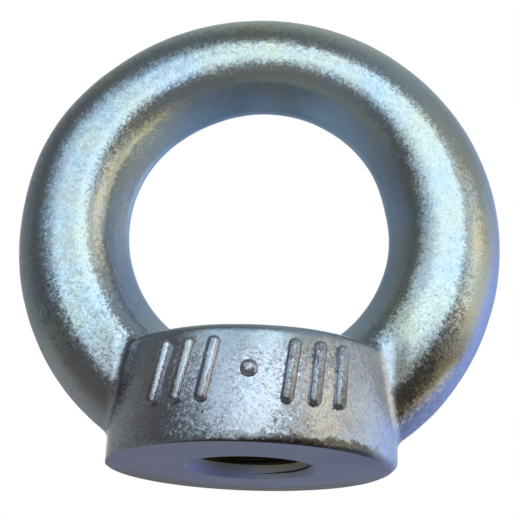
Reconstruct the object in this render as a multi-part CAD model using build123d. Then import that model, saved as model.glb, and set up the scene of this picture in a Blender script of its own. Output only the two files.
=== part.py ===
from build123d import *
from math import radians, sqrt, tan
import os

# Lifting eye nut: one drop forging in low-carbon steel, faced, drilled and tapped M16.
# A ring, thicker at its roots than at its crown, grows out of a short tapered collar.
# The frame has its origin on the thread's axis at the faced base, with +Z up through
# the eye. The ring stands in the XZ plane, and Y runs through the eye. Millimetres.

# The thread, drilled to its core size: the turns of the thread itself aren't cut.
thread_dia = 16.0
thread_pitch = 2.0
lead_in_margin = 0.6        # how far the countersink's mouth stands outside the thread
lead_in_angle = 45.0        # from the axis

# The ring. Its inside and its outside are circles about two centres, one below the
# other, so that its width grows from the crown down both limbs to the roots. Both of
# its edges are half round, and the flat land between them takes up the growth.
eye_dia = 34.8
crown_width = 13.1          # metal over the eye
crown_land = 0.3            # width of the land at the crown
centre_drop = 1.5           # from the eye's centre down to the outside's centre
root_height = 4.15          # base to where the outside comes in to the collar's foot

# The collar. Its foot stands upright to just under the ring's roots, and from there its
# wall comes in to the top.
collar_base_dia = 38.0
collar_draw = 1.8           # how far the wall comes in, on the radius
eye_sill = 1.25             # the collar's top, above the lowest point of the eye's circle
foot_round = 1.4            # edge above the faced base
rim_round = 1.2             # edge round the collar's top
root_round = 1.5            # fillet where the ring leaves the collar
root_clearance = 0.15       # from the top of the upright foot to that fillet

core_radius = (thread_dia - thread_pitch) / 2
foot_radius = collar_base_dia / 2
rim_radius = foot_radius - collar_draw
eye_radius = eye_dia / 2
edge_radius = (crown_width - crown_land) / 2
ring_radius = eye_radius + crown_width + centre_drop
ring_height = root_height + sqrt(ring_radius**2 - foot_radius**2)
eye_height = ring_height + centre_drop
collar_height = eye_height - eye_radius + eye_sill
foot_height = root_height - root_round - root_clearance


def half_round(radius, facing):
    """One edge of the ring: a half-round bar bent to this radius about the Y axis.

    It bulges outwards where facing is 1, and inwards where it is -1.
    """
    with BuildSketch() as section:
        with BuildLine():
            bulge = CenterArc((radius, 0), edge_radius, -90 * facing, 180)
            Line(bulge @ 1, bulge @ 0)
        make_face()
    return revolve(section.sketch, Axis.Y)


def forged_ring():
    """The two half-round edges and the land between them, faced off level with the base."""
    at_eye = Pos(0, 0, eye_height)
    at_ring = Pos(0, 0, ring_height)
    outline = at_ring * (Plane.XZ * Circle(ring_radius - edge_radius))
    opening = at_eye * (Plane.XZ * Circle(eye_radius + edge_radius))
    land = extrude(outline - opening, edge_radius, both=True)
    inner = at_eye * half_round(eye_radius + edge_radius, -1)
    outer = at_ring * half_round(ring_radius - edge_radius, 1)
    below = Pos(0, 0, -ring_radius / 2) * Cylinder(ring_radius, ring_radius)
    return inner + land + outer - below


def forged_collar():
    """The collar, turned about the thread's axis, with its bottom and top edges rounded."""
    with BuildSketch(Plane.XZ) as half:
        with BuildLine():
            Polyline(
                (0, 0),
                (foot_radius, 0),
                (foot_radius, foot_height),
                (rim_radius, collar_height),
                (0, collar_height),
                close=True,
            )
        make_face()
    collar = revolve(half.sketch, Axis.Z)
    edges = collar.edges().filter_by(GeomType.CIRCLE).sort_by(Axis.Z)
    collar = fillet(edges[0], foot_round)
    edges = collar.edges().filter_by(GeomType.CIRCLE).sort_by(Axis.Z)
    return fillet(edges[-1], rim_round)


def core_drill():
    """The core hole, from below the base up into the eye, with the countersink at the base."""
    mouth = thread_dia / 2 + lead_in_margin
    slope = tan(radians(lead_in_angle))
    lead = (mouth - core_radius) / slope
    with BuildSketch(Plane.XZ) as half:
        with BuildLine():
            Polyline(
                (0, -lead),
                (mouth + lead * slope, -lead),
                (core_radius, lead),
                (core_radius, eye_height),
                (0, eye_height),
                close=True,
            )
        make_face()
    return revolve(half.sketch, Axis.Z)


def eye_nut():
    """Ring and collar as one forging, with the roots filleted and the hole drilled."""
    ring = forged_ring()
    collar = forged_collar()
    forging = collar + ring
    roots = new_edges(collar, ring, combined=forging)
    return fillet(roots, root_round) - core_drill()


os.makedirs("parts", exist_ok=True)
export_step(eye_nut(), "parts/eye_nut.step")
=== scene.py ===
# Lifting eye nut: a drop-forged ring on a short tapered collar, tapped M16, zinc plated and blue passivated.
import bpy, math, time
from mathutils import Matrix, Vector


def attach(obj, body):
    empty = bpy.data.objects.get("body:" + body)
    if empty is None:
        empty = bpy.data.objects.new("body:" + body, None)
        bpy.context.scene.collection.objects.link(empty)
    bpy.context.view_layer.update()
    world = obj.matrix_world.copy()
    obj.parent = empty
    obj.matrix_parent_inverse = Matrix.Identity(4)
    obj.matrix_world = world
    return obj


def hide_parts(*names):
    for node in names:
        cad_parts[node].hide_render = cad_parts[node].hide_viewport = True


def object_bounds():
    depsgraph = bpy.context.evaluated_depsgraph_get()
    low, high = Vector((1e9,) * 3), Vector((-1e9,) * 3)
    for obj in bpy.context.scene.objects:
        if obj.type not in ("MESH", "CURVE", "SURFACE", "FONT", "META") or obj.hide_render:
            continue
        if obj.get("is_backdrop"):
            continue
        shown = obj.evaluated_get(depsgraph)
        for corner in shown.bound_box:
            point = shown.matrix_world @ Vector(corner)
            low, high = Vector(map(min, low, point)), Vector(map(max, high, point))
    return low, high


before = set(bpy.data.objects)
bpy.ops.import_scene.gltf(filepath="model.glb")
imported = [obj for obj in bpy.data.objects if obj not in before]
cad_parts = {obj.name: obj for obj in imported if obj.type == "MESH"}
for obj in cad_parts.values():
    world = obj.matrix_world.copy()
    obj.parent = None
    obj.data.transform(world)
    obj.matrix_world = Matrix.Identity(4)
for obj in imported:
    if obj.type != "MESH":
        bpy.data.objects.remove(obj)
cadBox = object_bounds()
started = time.time()
mm = 0.001
mathNode, vectorMath, mapRange = "ShaderNodeMath", "ShaderNodeVectorMath", "ShaderNodeMapRange"
colourA, colourB, mixedColour = 6, 7, 2     # a Mix node's sockets for colours


def linearFromHex(code):
    channels = [int(code[i:i + 2], 16) / 255 for i in (1, 3, 5)]
    return tuple(c / 12.92 if c <= 0.04045 else ((c + 0.055) / 1.055) ** 2.4 for c in channels) + (1.0,)


def addNode(tree, kind, inputs=(), out=0, **settings):
    # inputs: a list in socket order or a dictionary by name; sockets are linked and the rest are values
    node = tree.nodes.new(kind)
    for name, value in settings.items():
        setattr(node, name, value)
    pairs = inputs.items() if isinstance(inputs, dict) else enumerate(inputs)
    for key, value in pairs:
        if isinstance(value, bpy.types.NodeSocket):
            tree.links.new(value, node.inputs[key])
        elif value is not None:
            node.inputs[key].default_value = value
    return node.outputs[out] if out is not None else node


# camera: low in front of the nut and looking up at it, so the faced base shows; degrees and mm
cameraView = dict(
    elevation=-15.96, azimuth=2.09, roll=2.0,
    distance=250.0, aim=(0.22, 0.0, 28.04),
    lens=130.2, sensor=36.0, clip=(10.0, 20000.0),
)


def makeCamera(view):
    e, a, r = (math.radians(view[k]) for k in ("elevation", "azimuth", "roll"))
    forward = Vector((-math.sin(a) * math.cos(e), math.cos(a) * math.cos(e), -math.sin(e)))
    right = forward.cross(Vector((0, 0, 1))).normalized()
    up = right.cross(forward)
    rightTurned = right * math.cos(r) + up * math.sin(r)
    upTurned = up * math.cos(r) - right * math.sin(r)
    data = bpy.data.cameras.new("viewCamera")
    data.lens, data.sensor_width = view["lens"], view["sensor"]
    data.clip_start, data.clip_end = (reach * mm for reach in view["clip"])
    camera = bpy.data.objects.new("viewCamera", data)
    bpy.context.scene.collection.objects.link(camera)
    place = (Vector(view["aim"]) - forward * view["distance"]) * mm
    turn = Matrix((rightTurned, upTurned, -forward)).transposed()
    camera.matrix_world = Matrix.Translation(place) @ turn.to_4x4()
    bpy.context.scene.camera = camera


makeCamera(cameraView)
print("camera set")

# sizes in mm, named as the inputs of the forging's tree
forgingSizes = {
    "Eye Radius": 17.25, "Eye Height": 31.3,
    "Ring Radius": 32.07, "Ring Height": 29.8,
    "Edge Radius": 6.4,             # the ring's outside is half round
    "Crest Offset": 6.85,           # from the eye's edge out to where its faces start to turn over
    "Face Round": 5.45,
    "Wall Draft": 37.5,             # degrees, from the round down to the dies' parting line
    "Parting Round": 1.0,
    "Foot Radius": 18.96, "Rim Radius": 17.16, "Collar Height": 15.249,
    "Rim Round": 1.1, "Foot Round": 1.4, "Root Round": 0.65,
    "Face Tilt": 1.9,               # degrees that the forged underside slopes, down to the left
    "Face Stock": 3.0,              # how far past the collar the slope starts, so facing cleans all of it
    "Seam Height": 0.07, "Seam Width": 1.3,
    "Lump Height": 0.16, "Dimple Depth": 0.035,
    "Voxel": 0.38,
}
# where the dies filled unevenly: degrees from +X towards the crown, tightness, mm that the metal stands out
ringSwells = ((151, 26.0, 0.42), (-48, 22.0, 0.24))
eyeSwells = ((115, 11.0, 0.34), (14, 30.0, 0.30))
# the block that the skin is meshed in, with room round the nut; the value that marks the surface; and how
# many times the points are drawn on to it, and what share of the way each time
skinBlock = dict(low=(-34.0, -21.0, -4.0), high=(34.0, 21.0, 64.0), level=10.0, pulls=3, pullShare=0.6)
facingCutter = (90.0, 90.0, 10.0)   # its top lies at the base
seamPower = 4.0                     # how squarely the seam ends at either side
lumpNoise = {"Scale": 0.13, "Detail": 2.0, "Roughness": 0.55}       # scale: how many to the mm
dimpleNoise = {"Scale": 0.62, "Detail": 2.0, "Roughness": 0.6}
crispAngle = 26.0                   # degrees: sharper edges stay crisp

# mm, but for the bars' stretch, which is in half widths, and their tilt and lean, which are in radians
reliefSizes = {
    "Mark Radius": 18.26, "Mark Middle": 9.1, "Mark Height": 0.64, "Mark Tilt": -0.14,
    "Bar Pitch": 3.5, "Bar Width": 1.7, "Bar Stretch": 4.1, "Bar Lean": 0.16,
    "Dot Gap": 1.7, "Dot Radius": 1.1,
}
barsEachSide = 3                    # of the dot
ballSides, ballRings = 24, 16

threadSizes = {
    "Thread Diameter": 16.0, "Thread Pitch": 2.0, "Thread Lead In": 0.6,
    "Thread Start": -3.0, "Thread Turns": 11.0,
    "Drill Depth": 34.0, "Drill Middle": 14.0,
    "Lead Overlap": 1.0, "Tooth Overlap": 0.4,      # how far the cutters reach past the faces they meet
}
threadAngle = 60.0                  # degrees, between the tooth's flanks
rootFlatShare = 0.125               # the tooth's flat tip, as a share of the pitch
drillSides, helixSteps = 144, 72    # round the hole, and in a turn of the thread


def lengthOf(tree, a, b):
    squares = addNode(tree, mathNode, [b, b], operation="MULTIPLY")
    squares = addNode(tree, mathNode, [a, a, squares], operation="MULTIPLY_ADD")
    return addNode(tree, mathNode, [squares], operation="SQRT")


def fromCentre(tree, x, z, height):
    # distance in the ring's plane from a centre at this height
    return lengthOf(tree, x, addNode(tree, mathNode, [z, height], operation="SUBTRACT"))


def roundCorner(tree, a, b, radius):
    # distance to the corner between two faces, rounded off
    pa = addNode(tree, mathNode, [a, radius], operation="ADD")
    pb = addNode(tree, mathNode, [b, radius], operation="ADD")
    far = lengthOf(tree, addNode(tree, mathNode, [pa, 0.0], operation="MAXIMUM"),
                   addNode(tree, mathNode, [pb, 0.0], operation="MAXIMUM"))
    near = addNode(tree, mathNode, [pa, pb], operation="MAXIMUM")
    near = addNode(tree, mathNode, [near, 0.0], operation="MINIMUM")
    both = addNode(tree, mathNode, [far, near], operation="ADD")
    return addNode(tree, mathNode, [both, radius], operation="SUBTRACT")


def swelling(tree, x, up, swells):
    spoke = addNode(tree, "ShaderNodeCombineXYZ", {"X": x, "Z": up})
    spoke = addNode(tree, vectorMath, [spoke], operation="NORMALIZE")
    total = 0.0
    for angle, tightness, height in swells:
        toward = (math.cos(math.radians(angle)), 0.0, math.sin(math.radians(angle)))
        near = addNode(tree, vectorMath, [spoke, toward], out="Value", operation="DOT_PRODUCT")
        near = addNode(tree, mathNode, [near, tightness, -tightness], operation="MULTIPLY_ADD")
        near = addNode(tree, mathNode, [near], operation="EXPONENT")
        total = addNode(tree, mathNode, [near, height, total], operation="MULTIPLY_ADD")
    return total


def outsideDistance(tree, size, x, y, z):
    # half round about a circle in the ring's plane
    overRing = addNode(tree, mathNode, [z, size["Ring Height"]], operation="SUBTRACT")
    fromRing = lengthOf(tree, x, overRing)
    swollen = swelling(tree, x, overRing, ringSwells)
    fromRing = addNode(tree, mathNode, [fromRing, swollen], operation="SUBTRACT")
    ringEdge = addNode(tree, mathNode, [size["Ring Radius"], size["Edge Radius"]], operation="SUBTRACT")
    past = addNode(tree, mathNode, [fromRing, ringEdge], operation="SUBTRACT")
    past = addNode(tree, mathNode, [past, 0.0], operation="MAXIMUM")
    return addNode(tree, mathNode, [lengthOf(tree, past, y), size["Edge Radius"]], operation="SUBTRACT")


def eyeSideDistance(tree, size, x, y, z):
    # a tighter round on each face, then a drafted wall down to the dies' parting line
    overEye = addNode(tree, mathNode, [z, size["Eye Height"]], operation="SUBTRACT")
    fromEye = lengthOf(tree, x, overEye)
    swollen = swelling(tree, x, overEye, eyeSwells)
    fromEye = addNode(tree, mathNode, [fromEye, swollen], operation="ADD")
    crest = addNode(tree, mathNode, [size["Eye Radius"], size["Crest Offset"]], operation="ADD")
    u = addNode(tree, mathNode, [crest, fromEye], operation="SUBTRACT")
    soft = lengthOf(tree, y, size["Parting Round"])
    step = addNode(tree, mathNode, [size["Edge Radius"], size["Face Round"]], operation="SUBTRACT")
    v = addNode(tree, mathNode, [soft, step], operation="SUBTRACT")
    draft = addNode(tree, mathNode, [size["Wall Draft"]], operation="RADIANS")
    sine = addNode(tree, mathNode, [draft], operation="SINE")
    cosine = addNode(tree, mathNode, [draft], operation="COSINE")
    wall = addNode(tree, mathNode, [v, sine], operation="MULTIPLY")
    wall = addNode(tree, mathNode, [u, cosine, wall], operation="MULTIPLY_ADD")
    beside = addNode(tree, mathNode, [addNode(tree, mathNode, [u, sine], operation="MULTIPLY"),
                                      addNode(tree, mathNode, [v, cosine], operation="MULTIPLY")],
                     operation="SUBTRACT")
    onWall = addNode(tree, mathNode, [beside, 0.0], operation="GREATER_THAN")
    bulge = lengthOf(tree, addNode(tree, mathNode, [u, 0.0], operation="MAXIMUM"),
                     addNode(tree, mathNode, [v, 0.0], operation="MAXIMUM"))
    more = addNode(tree, mathNode, [wall, bulge], operation="SUBTRACT")
    inside = addNode(tree, mathNode, [onWall, more, bulge], operation="MULTIPLY_ADD")
    return addNode(tree, mathNode, [inside, size["Face Round"]], operation="SUBTRACT")


def collarDistance(tree, size, x, around, z):
    # the wall stands upright at the base and bows inwards to the rim
    drop = addNode(tree, mathNode, [size["Foot Radius"], size["Rim Radius"]], operation="SUBTRACT")
    rise = addNode(tree, mathNode, [z, size["Collar Height"]], operation="DIVIDE")
    rise = addNode(tree, mathNode, [rise, rise], operation="MULTIPLY")
    wall = addNode(tree, mathNode, [rise, drop, around], operation="MULTIPLY_ADD")
    side = addNode(tree, mathNode, [wall, size["Foot Radius"]], operation="SUBTRACT")
    top = addNode(tree, mathNode, [z, size["Collar Height"]], operation="SUBTRACT")
    # its underside slopes, and facing it level takes more of the foot's round off the left than off the right
    slope = addNode(tree, mathNode, [size["Face Tilt"]], operation="RADIANS")
    slope = addNode(tree, mathNode, [slope], operation="TANGENT")
    hinge = addNode(tree, mathNode, [size["Foot Radius"], size["Face Stock"]], operation="ADD")
    outward = addNode(tree, mathNode, [x, hinge], operation="SUBTRACT")
    under = addNode(tree, mathNode, [outward, slope], operation="MULTIPLY")
    under = addNode(tree, mathNode, [under, z], operation="SUBTRACT")
    rimmed = roundCorner(tree, side, top, size["Rim Round"])
    return roundCorner(tree, rimmed, under, size["Foot Round"])


def forgingDepth(tree, size):
    # depth below the forging's surface, with ring and collar joined by a fillet
    place = addNode(tree, "GeometryNodeInputPosition")
    x, y, z = addNode(tree, "ShaderNodeSeparateXYZ", [place], out=None).outputs
    outside = outsideDistance(tree, size, x, y, z)
    eyeSide = eyeSideDistance(tree, size, x, y, z)
    ring = addNode(tree, mathNode, [outside, eyeSide], operation="MAXIMUM")
    collar = collarDistance(tree, size, x, lengthOf(tree, x, y), z)
    nearRing = addNode(tree, mathNode, [size["Root Round"], ring], operation="SUBTRACT")
    nearRing = addNode(tree, mathNode, [nearRing, 0.0], operation="MAXIMUM")
    nearCollar = addNode(tree, mathNode, [size["Root Round"], collar], operation="SUBTRACT")
    nearCollar = addNode(tree, mathNode, [nearCollar, 0.0], operation="MAXIMUM")
    either = addNode(tree, mathNode, [ring, collar], operation="MINIMUM")
    either = addNode(tree, mathNode, [either, size["Root Round"]], operation="MAXIMUM")
    return addNode(tree, mathNode, [lengthOf(tree, nearRing, nearCollar), either], operation="SUBTRACT")


def skinFromDepth(tree, size, depth, block):
    # the depths fill a block of voxels, which is meshed at the surface and drawn on to it
    counts = [addNode(tree, mathNode, [high - low, size["Voxel"]], operation="DIVIDE")
              for low, high in zip(block["low"], block["high"])]
    density = addNode(tree, mathNode, [depth, block["level"]], operation="ADD")
    voxels = addNode(tree, "GeometryNodeVolumeCube", {
        "Density": density, "Background": 0.0, "Min": block["low"], "Max": block["high"],
        "Resolution X": counts[0], "Resolution Y": counts[1], "Resolution Z": counts[2]})
    skin = addNode(tree, "GeometryNodeVolumeToMesh", {
        "Volume": voxels, "Threshold": block["level"], "Adaptivity": 0.0})
    normal = addNode(tree, "GeometryNodeInputNormal")
    for _ in range(block["pulls"]):
        share = addNode(tree, mathNode, [depth, block["pullShare"]], operation="MULTIPLY")
        pull = addNode(tree, vectorMath, {0: normal, "Scale": share}, operation="SCALE")
        skin = addNode(tree, "GeometryNodeSetPosition", {"Geometry": skin, "Offset": pull})
    return skin


def wornSkin(tree, size, skin):
    # die wear and scale: gentle lumps, shallow dimples, and the trimmed flash seam standing a little proud
    place = addNode(tree, "GeometryNodeInputPosition")
    y = addNode(tree, "ShaderNodeSeparateXYZ", [place], out="Y")
    lumps = addNode(tree, "ShaderNodeTexNoise", {"Vector": place, **lumpNoise})
    dimples = addNode(tree, "ShaderNodeTexNoise", {"Vector": place, **dimpleNoise})
    seamFall = addNode(tree, mathNode, [y, size["Seam Width"]], operation="DIVIDE")
    seamFall = addNode(tree, mathNode, [seamFall, seamPower], operation="POWER")
    seamFall = addNode(tree, mathNode, [seamFall, -1.0], operation="MULTIPLY")
    onSeam = addNode(tree, mathNode, [seamFall], operation="EXPONENT")
    offSeam = addNode(tree, mathNode, [1.0, onSeam], operation="SUBTRACT")
    sunk = addNode(tree, mathNode, [lumps, size["Lump Height"]], operation="MULTIPLY")
    sunk = addNode(tree, mathNode, [dimples, size["Dimple Depth"], sunk], operation="MULTIPLY_ADD")
    sunk = addNode(tree, mathNode, [offSeam, size["Seam Height"], sunk], operation="MULTIPLY_ADD")
    sunk = addNode(tree, mathNode, [sunk, -1.0], operation="MULTIPLY")
    normal = addNode(tree, "GeometryNodeInputNormal")
    inward = addNode(tree, vectorMath, {0: normal, "Scale": sunk}, operation="SCALE")
    return addNode(tree, "GeometryNodeSetPosition", {"Geometry": skin, "Offset": inward})


def reliefMarks(tree, size):
    # plain raised marks on the collar's front: leaning bars, a dot in the middle, leaning bars again
    spots = addNode(tree, "GeometryNodeMeshLine", {"Count": 2 * barsEachSide + 1})
    index = addNode(tree, "GeometryNodeInputIndex")
    step = addNode(tree, mathNode, [index, barsEachSide], operation="SUBTRACT")
    hand = addNode(tree, mathNode, [step], operation="SIGN")
    along = addNode(tree, mathNode, [hand, size["Dot Gap"]], operation="MULTIPLY")
    along = addNode(tree, mathNode, [step, size["Bar Pitch"], along], operation="MULTIPLY_ADD")
    angle = addNode(tree, mathNode, [along, size["Mark Radius"]], operation="DIVIDE")
    sideways = addNode(tree, mathNode, [angle], operation="SINE")
    sideways = addNode(tree, mathNode, [sideways, size["Mark Radius"]], operation="MULTIPLY")
    forward = addNode(tree, mathNode, [angle], operation="COSINE")
    forward = addNode(tree, mathNode, [forward, size["Mark Radius"]], operation="MULTIPLY")
    forward = addNode(tree, mathNode, [forward, -1.0], operation="MULTIPLY")
    place = addNode(tree, "ShaderNodeCombineXYZ", [sideways, forward, size["Mark Middle"]])
    spots = addNode(tree, "GeometryNodeSetPosition", {"Geometry": spots, "Position": place})
    turn = addNode(tree, "ShaderNodeCombineXYZ", {"Z": angle})

    # a bar is a ball pulled apart into a capsule, flattened and leaned over
    ball = addNode(tree, "GeometryNodeMeshUVSphere", {
        "Segments": ballSides, "Rings": ballRings, "Radius": 1.0})
    end = addNode(tree, "ShaderNodeSeparateXYZ", [addNode(tree, "GeometryNodeInputPosition")], out="Z")
    end = addNode(tree, mathNode, [end], operation="SIGN")
    end = addNode(tree, mathNode, [end, size["Bar Stretch"]], operation="MULTIPLY")
    stretch = addNode(tree, "ShaderNodeCombineXYZ", {"Z": end})
    bar = addNode(tree, "GeometryNodeSetPosition", {"Geometry": ball, "Offset": stretch})
    halfWidth = addNode(tree, mathNode, [size["Bar Width"], 0.5], operation="MULTIPLY")
    girth = addNode(tree, "ShaderNodeCombineXYZ", [halfWidth, size["Mark Height"], halfWidth])
    bar = addNode(tree, "GeometryNodeTransform", {"Geometry": bar, "Scale": girth})
    lean = addNode(tree, "ShaderNodeCombineXYZ", {"X": size["Mark Tilt"], "Y": size["Bar Lean"]})
    bar = addNode(tree, "GeometryNodeTransform", {"Geometry": bar, "Rotation": lean})
    girth = addNode(tree, "ShaderNodeCombineXYZ", [
        size["Dot Radius"], size["Mark Height"], size["Dot Radius"]])
    dot = addNode(tree, "GeometryNodeTransform", {"Geometry": ball, "Scale": girth})

    fromMiddle = addNode(tree, mathNode, [step], operation="ABSOLUTE")
    isDot = addNode(tree, "FunctionNodeCompare", {0: fromMiddle, 1: 0.5}, operation="LESS_THAN")
    isBar = addNode(tree, "FunctionNodeBooleanMath", [isDot], operation="NOT")
    both = addNode(tree, "GeometryNodeJoinGeometry", out=None)
    for chosen, mark in ((isBar, bar), (isDot, dot)):
        marks = addNode(tree, "GeometryNodeInstanceOnPoints", {
            "Points": spots, "Selection": chosen, "Instance": mark, "Rotation": turn})
        tree.links.new(marks, both.inputs[0])
    return addNode(tree, "GeometryNodeRealizeInstances", {"Geometry": both.outputs[0]})


def threadCutters(tree, size):
    # core drill, countersink at the base, and a tap: a tooth swept along a right-hand helix
    threadRadius = addNode(tree, mathNode, [size["Thread Diameter"], 0.5], operation="MULTIPLY")
    halfPitch = addNode(tree, mathNode, [size["Thread Pitch"], 0.5], operation="MULTIPLY")
    coreRadius = addNode(tree, mathNode, [threadRadius, halfPitch], operation="SUBTRACT")
    drill = addNode(tree, "GeometryNodeMeshCylinder", {
        "Vertices": drillSides, "Radius": coreRadius, "Depth": size["Drill Depth"]})
    middle = addNode(tree, "ShaderNodeCombineXYZ", {"Z": size["Drill Middle"]})
    drill = addNode(tree, "GeometryNodeTransform", {"Geometry": drill, "Translation": middle})

    mouth = addNode(tree, mathNode, [threadRadius, size["Thread Lead In"]], operation="ADD")
    leadDepth = addNode(tree, mathNode, [mouth, coreRadius], operation="SUBTRACT")
    leadDepth = addNode(tree, mathNode, [leadDepth, size["Lead Overlap"]], operation="ADD")
    lead = addNode(tree, "GeometryNodeMeshCone", {
        "Vertices": drillSides, "Radius Top": coreRadius, "Depth": leadDepth,
        "Radius Bottom": addNode(tree, mathNode, [mouth, size["Lead Overlap"]], operation="ADD")})
    down = addNode(tree, mathNode, [size["Lead Overlap"], -1.0], operation="MULTIPLY")
    down = addNode(tree, "ShaderNodeCombineXYZ", {"Z": down})
    lead = addNode(tree, "GeometryNodeTransform", {"Geometry": lead, "Translation": down})

    length = addNode(tree, mathNode, [size["Thread Turns"], size["Thread Pitch"]], operation="MULTIPLY")
    helix = addNode(tree, "GeometryNodeCurveSpiral", {
        "Resolution": helixSteps, "Rotations": size["Thread Turns"], "Height": length,
        "Start Radius": threadRadius, "End Radius": threadRadius})
    start = addNode(tree, "ShaderNodeCombineXYZ", {"Z": size["Thread Start"]})
    helix = addNode(tree, "GeometryNodeTransform", {"Geometry": helix, "Translation": start})
    helix = addNode(tree, "GeometryNodeSetCurveNormal", {"Curve": helix}, mode="Z_UP")
    rootFlat = addNode(tree, mathNode, [size["Thread Pitch"], rootFlatShare], operation="MULTIPLY")
    depth = addNode(tree, mathNode, [halfPitch, size["Tooth Overlap"]], operation="ADD")
    flanks = 2 * math.tan(math.radians(threadAngle / 2))
    foot = addNode(tree, mathNode, [depth, flanks, rootFlat], operation="MULTIPLY_ADD")
    tooth = addNode(tree, "GeometryNodeCurvePrimitiveQuadrilateral", {
        "Height": depth, "Bottom Width": foot, "Top Width": rootFlat, "Offset": 0.0}, mode="TRAPEZOID")
    inward = addNode(tree, mathNode, [depth, 0.5], operation="MULTIPLY")
    inward = addNode(tree, "ShaderNodeCombineXYZ", {"X": inward})
    tooth = addNode(tree, "GeometryNodeTransform", {
        "Geometry": tooth, "Translation": inward, "Rotation": (0, 0, math.radians(90))})
    tap = addNode(tree, "GeometryNodeCurveToMesh", {
        "Curve": helix, "Profile Curve": tooth, "Fill Caps": True})
    return [drill, lead, tap]


def machinedSkin(tree, size, skin):
    # faced, drilled, countersunk and tapped; the cut faces are marked, to take their own finish
    facing = addNode(tree, "GeometryNodeMeshCube", {"Size": facingCutter})
    facing = addNode(tree, "GeometryNodeTransform", {
        "Geometry": facing, "Translation": (0, 0, -facingCutter[2] / 2)})
    for cutter in [facing, *threadCutters(tree, size)]:
        cutter = addNode(tree, "GeometryNodeSetMaterial", {
            "Geometry": cutter, "Material": size["Machined Face"]})
        cutter = addNode(tree, "GeometryNodeStoreNamedAttribute", {
            "Geometry": cutter, "Name": "machined", "Value": True}, data_type="BOOLEAN", domain="FACE")
        skin = addNode(tree, "GeometryNodeMeshBoolean", {"Mesh 1": skin, "Mesh 2": cutter},
                       operation="DIFFERENCE", solver="MANIFOLD")
    return skin


def forgingTree(name):
    tree = bpy.data.node_groups.new(name, "GeometryNodeTree")
    tree.interface.new_socket("Geometry", in_out="OUTPUT", socket_type="NodeSocketGeometry")
    for label in ("Forged Skin", "Machined Face"):
        tree.interface.new_socket(label, in_out="INPUT", socket_type="NodeSocketMaterial")
    for label in [*forgingSizes, *reliefSizes, *threadSizes]:
        tree.interface.new_socket(label, in_out="INPUT", socket_type="NodeSocketFloat")
    size = addNode(tree, "NodeGroupInput", out=None).outputs

    skin = wornSkin(tree, size, skinFromDepth(tree, size, forgingDepth(tree, size), skinBlock))
    skin = addNode(tree, "GeometryNodeSetMaterial", {"Geometry": skin, "Material": size["Forged Skin"]})
    marks = addNode(tree, "GeometryNodeSetMaterial", {
        "Geometry": reliefMarks(tree, size), "Material": size["Forged Skin"]})
    marked = addNode(tree, "GeometryNodeMeshBoolean", {"Mesh 2": skin}, out=None, operation="UNION",
                     solver="MANIFOLD")
    tree.links.new(marks, marked.inputs["Mesh 2"])
    skin = machinedSkin(tree, size, marked.outputs[0])

    # crisp where the cutters met the skin, smooth elsewhere
    angle = addNode(tree, "GeometryNodeInputMeshEdgeAngle")
    sharp = addNode(tree, "FunctionNodeCompare", {0: angle, 1: math.radians(crispAngle)},
                    operation="GREATER_THAN")
    skin = addNode(tree, "GeometryNodeSetShadeSmooth", {
        "Geometry": skin, "Shade Smooth": True}, domain="FACE")
    skin = addNode(tree, "GeometryNodeSetShadeSmooth", {
        "Geometry": skin, "Selection": sharp, "Shade Smooth": False}, domain="EDGE")
    skin = addNode(tree, "GeometryNodeTransform", {"Geometry": skin, "Scale": (mm, mm, mm)})
    skin = addNode(tree, "GeometryNodeRealizeInstances", {"Geometry": skin})
    skin = addNode(tree, "GeometryNodeSetMaterial", {"Geometry": skin, "Material": size["Forged Skin"]})
    machined = addNode(tree, "GeometryNodeInputNamedAttribute", {"Name": "machined"}, data_type="BOOLEAN")
    skin = addNode(tree, "GeometryNodeSetMaterial", {
        "Geometry": skin, "Selection": machined, "Material": size["Machined Face"]})
    addNode(tree, "NodeGroupOutput", [skin], out=None)
    return tree


def makeFromTree(name, tree, values):
    source = bpy.data.objects.new(name + "Source", bpy.data.meshes.new(name + "Source"))
    bpy.context.scene.collection.objects.link(source)
    modifier = source.modifiers.new("build", "NODES")
    modifier.node_group = tree
    identifiers = {s.name: s.identifier for s in tree.interface.items_tree if s.in_out == "INPUT"}
    for label, value in values.items():
        modifier[identifiers[label]] = value
    graph = bpy.context.evaluated_depsgraph_get()
    mesh = bpy.data.meshes.new_from_object(source.evaluated_get(graph))
    source.modifiers.clear()
    bpy.data.objects.remove(source)
    mesh.name = name
    piece = bpy.data.objects.new(name, mesh)
    bpy.context.scene.collection.objects.link(piece)
    return piece


# the forged skin: film tints by their place in a slow noise, with painted reflections, painted light and
# painted shade among them, and the blasted grain
skinFinish = dict(
    stops=dict(violet=0.28, blue=0.42, steel=0.52, straw=0.70),
    steel="#abafb2", violet="#aba8b6", straw="#b2b0a4", blue="#a4afba",
    # of the last five colours, the blue and the two violets are partly film and partly painted reflections of
    # blue light from below and behind, the palest is painted light on the collar's right side, and the brown
    # is painted shade
    insideBlue="#b0c8e4", footViolet="#aca8b1", outerViolet="#9aa2c4", paintedSideLight="#d2d4e0", shadeBrown="#5a544c",
    drift=(0.0026, 0.01),           # how much the noise gains for each mm to the right, and in the middle
    patches=11.0, speckle=1.6,      # mm
    # width in mm, and lean on the ring and on the collar; coarser than blasted grain, so that it shows
    coarse=(0.45, 0.08, 0.13), fine=(0.2, 0.13, 0.19),
    pits=0.8, pitDepth=0.02,        # mm
    roughness=(0.26, 0.22),         # on the ring, on the collar
    sideLightRougher=0.3, flankRougher=0.05, flankSmoothed=0.75,
)
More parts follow.
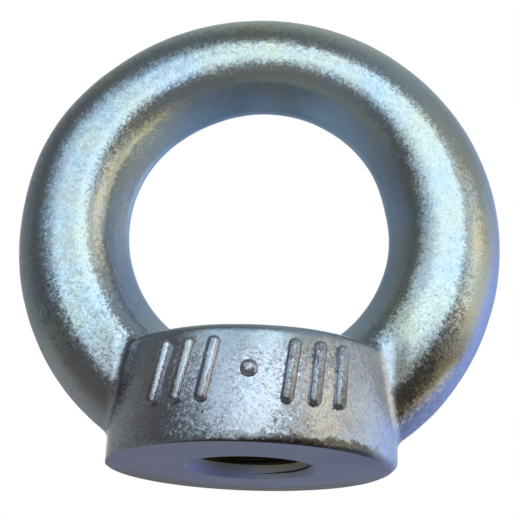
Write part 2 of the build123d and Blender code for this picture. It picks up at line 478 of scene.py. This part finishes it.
# zones of film, painted reflection, painted light and painted shade, in mm: how far the noise pushes a zone's
# edge to and fro, where the zone starts, where it is reached in full, and its least and greatest share
skinZones = dict(
    # by distance from the eye's middle
    flank=(3.0, 22.6, 20.4, 0.0, 1.0), eyeFilmAndReflection=(3.0, 21.7, 18.7, 0.0, 1.0),
    # by distance from the ring's middle
    outerFilmAndReflection=(2.0, 30.6, 31.8, 0.0, 0.85), shadeBand=(2.0, 25.6, 27.4, 0.0, 1.0),
    insideFilm=(2.0, 31.9, 30.8, 0.0, 1.0),
    # by height above the base
    footFilmAndReflection=(10.0, 22.0, 15.0, 0.0, 0.85), lowLimbs=(6.0, 24.0, 16.0, 0.0, 1.0),
    footLine=(3.2, 3.1, 2.6, 0.0, 1.0), onCollar=(0.0, 30.0, 16.0, 0.0, 1.0),
    # by distance to the right, and from the middle to either side
    shadeRight=(0.0, -20.0, 20.0, 0.45, 0.9), sideLightRight=(5.0, 11.0, 18.0, 0.0, 0.7),
    footRight=(0.0, -12.0, 8.0, 0.1, 0.9), footEnd=(0.0, 17.0, 14.5, 0.0, 1.0),
    besideWall=(4.0, 23.5, 21.5, 0.0, 1.0),
    # by distance from the thread's axis
    pastCollar=(0.0, 18.6, 19.4, 0.0, 1.0),
    # by height and distance to the right together
    crownRight=(0.0, 5.0, 28.0, 0.3, 1.0), lowRight=(0.0, -8.0, 8.0, 0.0, 1.0),
)
crownShare = 0.6                    # how much a mm of height counts towards crownRight
overCollar = 15.3                   # height from which all is ring


def newMaterial(name):
    material = bpy.data.materials.new(name)
    material.use_nodes = True
    tree = material.node_tree
    tree.nodes.clear()
    return material, tree


def zone(tree, limits, value, noise):
    # how far into a zone each point lies, from its least to its greatest share
    wander, start, full, least, most = limits
    value = addNode(tree, mathNode, [noise, wander, value], operation="MULTIPLY_ADD")
    return addNode(tree, mapRange, {"Value": value, "From Min": start, "From Max": full,
                                    "To Min": least, "To Max": most})


def product(tree, first, *others):
    for other in others:
        first = addNode(tree, mathNode, [first, other], operation="MULTIPLY")
    return first


def paintedShadeShare(tree, look, zones, place, patches, inMm):
    # painted shade: dark brown on the limbs where they come down beside the collar and into the crease,
    # inside of the violet band
    x, y, z = place
    fromRing = fromCentre(tree, x, z, forgingSizes["Ring Height"])
    aside = addNode(tree, mathNode, [x], operation="ABSOLUTE")
    besideWall = zone(tree, zones["besideWall"], aside, patches)
    shadeBand = zone(tree, zones["shadeBand"], fromRing, patches)
    nearWall = addNode(tree, mathNode, [besideWall, shadeBand], operation="MAXIMUM")
    onLimbs = product(tree, nearWall, zone(tree, zones["insideFilm"], fromRing, patches),
                      zone(tree, zones["lowLimbs"], z, patches),
                      zone(tree, zones["pastCollar"], lengthOf(tree, x, y), patches),
                      zone(tree, zones["shadeRight"], x, patches))
    # painted shade again, in a broken line along the foot's rounded edge
    speckle = addNode(tree, "ShaderNodeTexNoise", {
        "Vector": inMm, "Scale": 1 / look["speckle"], "Detail": 3.0, "Roughness": 0.65})
    onFoot = product(tree, zone(tree, zones["footLine"], z, speckle),
                     zone(tree, zones["footRight"], x, patches),
                     zone(tree, zones["footEnd"], x, patches))
    return addNode(tree, mathNode, [onLimbs, onFoot], operation="MAXIMUM")


def filmAndPaintedLightTint(tree, look, zones, place, patches, scale, paintedSideLight):
    x, z = place[0], place[2]
    # the tint drifts from blue towards straw from the left limb to the right one
    drift = addNode(tree, mathNode, [x, *look["drift"]], operation="MULTIPLY_ADD")
    drift = addNode(tree, mathNode, [drift, patches], operation="ADD")
    ramp = addNode(tree, "ShaderNodeValToRGB", [drift], out=None)
    while len(ramp.color_ramp.elements) < len(look["stops"]):
        ramp.color_ramp.elements.new(0.5)
    for element, (key, at) in zip(ramp.color_ramp.elements, look["stops"].items()):
        element.position, element.color = at, linearFromHex(look[key])
    # bluest round the inside of the eye, most of all at the crown and on the right: partly the film's tint,
    # partly a painted reflection of blue light from below and behind
    fromEye = fromCentre(tree, x, z, forgingSizes["Eye Height"])
    crownRight = addNode(tree, mathNode, [z, crownShare, x], operation="MULTIPLY_ADD")
    inner = product(tree, zone(tree, zones["eyeFilmAndReflection"], fromEye, patches),
                    zone(tree, zones["crownRight"], crownRight, patches))
    # violet down at the foot, and violet again on the right limb's outside, low down: partly the film's tint,
    # partly a painted reflection of violet-blue light from below
    lowDown = zone(tree, zones["footFilmAndReflection"], z, patches)
    fromRing = fromCentre(tree, x, z, forgingSizes["Ring Height"])
    lowRight = addNode(tree, mathNode, [x, z], operation="SUBTRACT")
    outer = product(tree, zone(tree, zones["outerFilmAndReflection"], fromRing, patches),
                    zone(tree, zones["lowRight"], lowRight, patches))
    # mixed in over the film: painted reflections of blue and violet light, painted light on the collar's
    # right side, then painted shade
    tint = ramp.outputs[0]
    for share, key in ((inner, "insideBlue"), (lowDown, "footViolet"), (outer, "outerViolet"), (paintedSideLight, "paintedSideLight"),
                       (scale, "shadeBrown")):
        tint = addNode(tree, "ShaderNodeMix", {
            "Factor": share, colourA: tint, colourB: linearFromHex(look[key])},
            out=mixedColour, data_type="RGBA")
    return tint


def blastedGrain(tree, look, inMm, onCollar, flank):
    # each blasted dent is a small facet with its own lean, and coarser ones lie under the fine
    pits = addNode(tree, "ShaderNodeTexNoise", {
        "Vector": inMm, "Scale": 1 / look["pits"], "Detail": 2.0, "Roughness": 0.5})
    bump = addNode(tree, "ShaderNodeBump", {
        "Strength": 1.0, "Distance": look["pitDepth"] * mm, "Height": pits})
    # the blast hardly reaches the eye's flanks, so they stay smooth and dull
    dulled = addNode(tree, mathNode, [flank, -look["flankSmoothed"], 1.0], operation="MULTIPLY_ADD")
    for key in ("coarse", "fine"):
        width, ringLean, collarLean = look[key]
        lean = addNode(tree, mapRange, {"Value": onCollar, "To Min": ringLean, "To Max": collarLean})
        lean = addNode(tree, mathNode, [lean, dulled], operation="MULTIPLY")
        cells = addNode(tree, "ShaderNodeTexVoronoi", {
            "Vector": inMm, "Scale": 1 / width, "Randomness": 1.0}, out="Color")
        leans = addNode(tree, vectorMath, [cells, (0.5, 0.5, 0.5)], operation="SUBTRACT")
        leans = addNode(tree, vectorMath, {0: leans, "Scale": lean}, operation="SCALE")
        bump = addNode(tree, vectorMath, [bump, leans], operation="ADD")
    return addNode(tree, vectorMath, [bump], operation="NORMALIZE")


def forgedZincMaterial(look, zones):
    # low-carbon steel, drop forged and shot blasted, then electroplated with zinc and blue passivated:
    # a soft metallic lustre broken by blasted grain, with thin-film tints of blue, violet and straw, some of
    # the blue and violet painted reflection, and painted light and painted shade in places
    material, tree = newMaterial("forgedZinc")
    where = addNode(tree, "ShaderNodeTexCoord", out="Object")
    inMm = addNode(tree, "ShaderNodeMapping", {"Vector": where, "Scale": (1 / mm, 1 / mm, 1 / mm)})
    patches = addNode(tree, "ShaderNodeTexNoise", {
        "Vector": inMm, "Scale": 1 / look["patches"], "Detail": 3.0, "Roughness": 0.6})
    place = addNode(tree, "ShaderNodeSeparateXYZ", [inMm], out=None).outputs
    x, y, z = place
    fromEye = fromCentre(tree, x, z, forgingSizes["Eye Height"])
    flank = zone(tree, zones["flank"], fromEye, patches)
    onCollar = zone(tree, zones["onCollar"], z, patches)
    # painted light: paler on the collar's right side, where light falls from the right
    onRing = addNode(tree, mathNode, [z, overCollar], operation="GREATER_THAN")
    pastCollar = zone(tree, zones["pastCollar"], lengthOf(tree, x, y), patches)
    onRing = addNode(tree, mathNode, [pastCollar, onRing], operation="MAXIMUM")
    offRing = addNode(tree, mathNode, [1.0, onRing], operation="SUBTRACT")
    paintedSideLight = product(tree, zone(tree, zones["sideLightRight"], x, patches), offRing)

    # painted shade: dark brown in the crease beside the collar and along the foot's rounded edge
    scale = paintedShadeShare(tree, look, zones, place, patches, inMm)
    tint = filmAndPaintedLightTint(tree, look, zones, place, patches, scale, paintedSideLight)
    rough = addNode(tree, mapRange, {"Value": onCollar, "To Min": look["roughness"][0],
                                     "To Max": look["roughness"][1]})
    rough = addNode(tree, mathNode, [paintedSideLight, look["sideLightRougher"], rough], operation="MULTIPLY_ADD")
    rough = addNode(tree, mathNode, [flank, look["flankRougher"], rough], operation="MULTIPLY_ADD")
    grain = blastedGrain(tree, look, inMm, onCollar, flank)
    shader = addNode(tree, "ShaderNodeBsdfPrincipled", {
        "Base Color": tint, "Metallic": 1.0, "Roughness": rough, "Normal": grain})
    addNode(tree, "ShaderNodeOutputMaterial", {"Surface": shader}, out=None)
    return material


facedFinish = dict(
    # the third colour is painted shade, darkening the tapped hole and the back of the face's rim
    steel="#a6a8c4", violet="#9d9bc0", holeAndRimShade="#8c8672", roughness=0.34, patches=9.0,
    turning=0.35, turningDepth=0.003,   # mm; coarser than real turning, so that the rings show
)
facedZones = dict(                  # in the same form, by height, by distance from the axis and by depth
    inHole=(0.0, 0.2, 1.6, 0.0, 1.0), atRim=(0.0, 13.5, 16.0, 0.0, 1.0), atBack=(0.0, 2.0, 11.0, 0.0, 0.8),
)


def facedZincMaterial(look, zones):
    # the faced base and the tapped hole: machined bright before plating, so smoother, with fine turning rings
    material, tree = newMaterial("facedZinc")
    where = addNode(tree, "ShaderNodeTexCoord", out="Object")
    inMm = addNode(tree, "ShaderNodeMapping", {"Vector": where, "Scale": (1 / mm, 1 / mm, 1 / mm)})
    patches = addNode(tree, "ShaderNodeTexNoise", {
        "Vector": inMm, "Scale": 1 / look["patches"], "Detail": 2.0, "Roughness": 0.5})
    tint = addNode(tree, "ShaderNodeMix", {
        "Factor": patches, colourA: linearFromHex(look["steel"]), colourB: linearFromHex(look["violet"])},
        out=mixedColour, data_type="RGBA")
    x, y, z = addNode(tree, "ShaderNodeSeparateXYZ", [inMm], out=None).outputs
    radius = lengthOf(tree, x, y)
    rings = addNode(tree, "ShaderNodeCombineXYZ", {"X": radius})
    lines = addNode(tree, "ShaderNodeTexNoise", {
        "Vector": rings, "Scale": 1 / look["turning"], "Detail": 1.0})
    bump = addNode(tree, "ShaderNodeBump", {
        "Strength": 1.0, "Distance": look["turningDepth"] * mm, "Height": lines})
    # painted shade darkens the hole and the back of the face's rim
    atRim = product(tree, zone(tree, zones["atRim"], radius, patches),
                    zone(tree, zones["atBack"], y, patches))
    shadedShare = addNode(tree, mathNode, [zone(tree, zones["inHole"], z, patches), atRim], operation="MAXIMUM")
    tint = addNode(tree, "ShaderNodeMix", {
        "Factor": shadedShare, colourA: tint, colourB: linearFromHex(look["holeAndRimShade"])},
        out=mixedColour, data_type="RGBA")
    shader = addNode(tree, "ShaderNodeBsdfPrincipled", {
        "Base Color": tint, "Metallic": 1.0, "Roughness": look["roughness"], "Normal": bump})
    addNode(tree, "ShaderNodeOutputMaterial", {"Surface": shader}, out=None)
    return material


eyeNut = makeFromTree("eyeNut", forgingTree("eyeNutForging"), {
    "Forged Skin": forgedZincMaterial(skinFinish, skinZones),
    "Machined Face": facedZincMaterial(facedFinish, facedZones),
    **forgingSizes, **reliefSizes, **threadSizes})
triangles = sum(len(face.vertices) - 2 for face in eyeNut.data.polygons)
print("forging", len(eyeNut.data.vertices), "vertices", triangles, "triangles",
      round(time.time() - started, 1), "s")
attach(eyeNut, "root")
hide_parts("eye_nut")

# the set round the nut: mm, degrees and shares
stageSizes = dict(
    floorSolid=75.0, floorFade=170.0, floorEdge=175.0, floorSides=96,
    floorHole=0.5, floorDrop=0.02,
    floorOpen=19.5,                 # within this radius only the camera sees it
    floorFaint=0.8,                 # how much of it reflections miss
    tentRadius=620.0, tentRings=24, tentTurns=48,
    tentOpening=20.0, tentBehind=16.0,      # the opening's half angle, and its elevation behind the nut
)
stageColours = dict(floor="#f1f1ef", fill="#e8ecf2", fillStrength=0.6)


def makeMesh(name, points, faces):
    mesh = bpy.data.meshes.new(name)
    mesh.from_pydata([tuple(c * mm for c in p) for p in points], [], faces)
    mesh.update()
    thing = bpy.data.objects.new(name, mesh)
    bpy.context.scene.collection.objects.link(thing)
    return thing


def makeFloor(size, colour):
    # a round sheet, seen only from above, that lets light through under the nut and fades into the background
    points, faces, count = [], [], size["floorSides"]
    for radius in (size["floorHole"], size["floorEdge"]):
        for i in range(count):
            a = 2 * math.pi * i / count
            points.append((radius * math.cos(a), radius * math.sin(a), -size["floorDrop"]))
    for i in range(count):
        j = (i + 1) % count
        faces.append((i, count + i, count + j, j))
    floor = makeMesh("floor", points, faces)
    material, tree = newMaterial("paleFloor")
    where = addNode(tree, "ShaderNodeTexCoord", out="Object")
    away = addNode(tree, vectorMath, [where], out="Value", operation="LENGTH")
    fade = addNode(tree, mapRange, {
        "Value": away, "From Min": size["floorSolid"] * mm, "From Max": size["floorFade"] * mm,
        "To Min": 0.0, "To Max": 1.0}, interpolation_type="SMOOTHSTEP")
    below = addNode(tree, "ShaderNodeNewGeometry", out="Backfacing")
    rays = addNode(tree, "ShaderNodeLightPath", out=None).outputs
    under = addNode(tree, mathNode, [away, size["floorOpen"] * mm], operation="LESS_THAN")
    unseen = addNode(tree, mathNode, [1.0, rays["Is Camera Ray"]], operation="SUBTRACT")
    under = addNode(tree, mathNode, [under, unseen], operation="MULTIPLY")
    faint = addNode(tree, mathNode, [rays["Is Glossy Ray"], size["floorFaint"]], operation="MULTIPLY")
    clear = fade
    for reason in (below, under, faint):
        clear = addNode(tree, mathNode, [clear, reason], operation="MAXIMUM")
    sheet = addNode(tree, "ShaderNodeBsdfDiffuse", {"Color": linearFromHex(colour)})
    gone = addNode(tree, "ShaderNodeBsdfTransparent")
    mixed = addNode(tree, "ShaderNodeMixShader", [clear, sheet, gone])
    addNode(tree, "ShaderNodeOutputMaterial", {"Surface": mixed}, out=None)
    floor.data.materials.append(material)
    return floor


makeFloor(stageSizes, stageColours["floor"])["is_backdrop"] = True

# the lamps are hidden from reflections, and the nut is all metal, so they light only the floor
lamps = {
    # place, aim and size in mm, power in W
    "keySoftbox": dict(place=(0, -420, 310), aim=(0, 0, 30), size=(1000, 330), power=3.8, colour="#e2f7ff"),
    "sidePanel": dict(place=(520, 20, 70), aim=(0, 0, 40), size=(420, 560), power=0.7, colour="#eef3ff"),
    "warmLamp": dict(place=(470, -240, 20), aim=(0, 0, 30), size=(70, 260), power=0.3, colour="#ffe3a0"),
}


def makeLamp(name, lamp):
    data = bpy.data.lights.new(name, "AREA")
    data.shape, data.size, data.size_y = "RECTANGLE", lamp["size"][0] * mm, lamp["size"][1] * mm
    data.energy, data.color = lamp["power"], linearFromHex(lamp["colour"])[:3]
    thing = bpy.data.objects.new(name, data)
    bpy.context.scene.collection.objects.link(thing)
    thing.location = Vector(lamp["place"]) * mm
    thing.rotation_mode = "QUATERNION"
    thing.rotation_quaternion = (Vector(lamp["aim"]) - Vector(lamp["place"])).to_track_quat("-Z", "Y")
    thing.visible_camera = thing.visible_glossy = False


for name, lamp in lamps.items():
    makeLamp(name, lamp)

# the tent's panels: azimuth to the right of the front and elevation in degrees, tightness, linear colour
tentPanels = dict(
    keyFront=(-1, 11, 18.0, (1.55, 2.02, 2.18)),
    keyHigh=(18, 28, 29.0, (1.90, 2.42, 2.62)),
    keyLeft=(-33, 30, 17.0, (1.00, 1.36, 1.52)),
    warmCard=(57, 14, 24.0, (1.75, 1.75, 1.4)),
    warmLow=(80, -22, 26.0, (1.6, 1.45, 0.85)),
    strawCard=(92, 4, 9.5, (0.70, 0.66, 0.31)),
    rightHigh=(63, 51, 12.7, (0.24, 0.32, 0.39)),
    blueRight=(124, 2, 4.9, (0.46, 0.70, 1.18)),
    leftWall=(-125, 0, 2.7, (0.27, 0.33, 0.32)),
    lowLeft=(-66, -61, 6.4, (0.20, 0.20, 0.06)),
    roofBack=(163, 68, 5.5, (0.43, 0.53, 0.47)),
    floorFront=(0, -85, 8.0, (0.05, 0.13, 0.27)),
    backCloth=(180, 20, 9.0, (0.40, 0.42, 0.45)),
    lowBack=(180, -66, 6.0, (0.17, 0.17, 0.18)),
)
tentBase = (0.03, 0.008, 0.008)


def makeTent(size, base, panels):
    # a cloth tent round the set, open behind the nut; only reflections see it
    rings, turns, reach = size["tentRings"], size["tentTurns"], size["tentRadius"]
    points, faces = [], []
    for i in range(rings + 1):
        v = math.pi * i / rings
        across = reach * math.sin(v)
        for j in range(turns):
            h = 2 * math.pi * j / turns
            points.append((across * math.sin(h), across * math.cos(h), reach * math.cos(v)))
    tilt = math.radians(size["tentBehind"])
    behind = Vector((0.0, math.cos(tilt), math.sin(tilt)))
    for i in range(rings):
        for j in range(turns):
            k = (j + 1) % turns
            face = (i * turns + j, i * turns + k, (i + 1) * turns + k, (i + 1) * turns + j)
            middle = sum((Vector(points[p]) for p in face), Vector())
            if middle.angle(behind) > math.radians(size["tentOpening"]):
                faces.append(face)
    tent = makeMesh("lightTent", points, faces)
    material, tree = newMaterial("tentCloth")
    where = addNode(tree, "ShaderNodeTexCoord", out="Object")
    facing = addNode(tree, vectorMath, [where], operation="NORMALIZE")
    cloth = base
    for azimuth, elevation, tightness, colour in panels.values():
        a, e = math.radians(azimuth), math.radians(elevation)
        toward = (math.sin(a) * math.cos(e), -math.cos(a) * math.cos(e), math.sin(e))
        near = addNode(tree, vectorMath, [facing, toward], out="Value", operation="DOT_PRODUCT")
        near = addNode(tree, mathNode, [near, tightness, -tightness], operation="MULTIPLY_ADD")
        near = addNode(tree, mathNode, [near], operation="EXPONENT")
        lit = addNode(tree, vectorMath, {0: colour, "Scale": near}, operation="SCALE")
        cloth = addNode(tree, vectorMath, [cloth, lit], operation="ADD")
    glow = addNode(tree, "ShaderNodeEmission", {"Color": cloth, "Strength": 1.0})
    addNode(tree, "ShaderNodeOutputMaterial", {"Surface": glow}, out=None)
    tent.data.materials.append(material)
    tent.visible_camera = tent.visible_diffuse = tent.visible_shadow = False
    tent.visible_transmission = tent.visible_volume_scatter = False
    return tent


makeTent(stageSizes, tentBase, tentPanels)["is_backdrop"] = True


def makeWorld(colours):
    # white where it is seen, and a plain fill for the floor's light
    world = bpy.data.worlds.new("studio")
    bpy.context.scene.world = world
    world.use_nodes = True
    tree = world.node_tree
    tree.nodes.clear()
    rays = addNode(tree, "ShaderNodeLightPath", out=None).outputs
    seen = addNode(tree, mathNode, [rays["Is Camera Ray"], rays["Is Glossy Ray"]], operation="MAXIMUM")
    seen = addNode(tree, mathNode, [seen, rays["Is Transmission Ray"]], operation="MAXIMUM")
    fill = addNode(tree, "ShaderNodeBackground", {
        "Color": linearFromHex(colours["fill"]), "Strength": colours["fillStrength"]})
    white = addNode(tree, "ShaderNodeBackground", {"Color": (1, 1, 1, 1), "Strength": 1.0})
    mixed = addNode(tree, "ShaderNodeMixShader", [seen, fill, white])
    addNode(tree, "ShaderNodeOutputWorld", {"Surface": mixed}, out=None)


makeWorld(stageColours)
bpy.context.scene.view_settings.view_transform = "Standard"
print("stage set")

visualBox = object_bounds()
for label, box in (("cad box", cadBox), ("visual box", visualBox)):
    print(label, [[round(v / mm, 2) for v in corner] for corner in box])
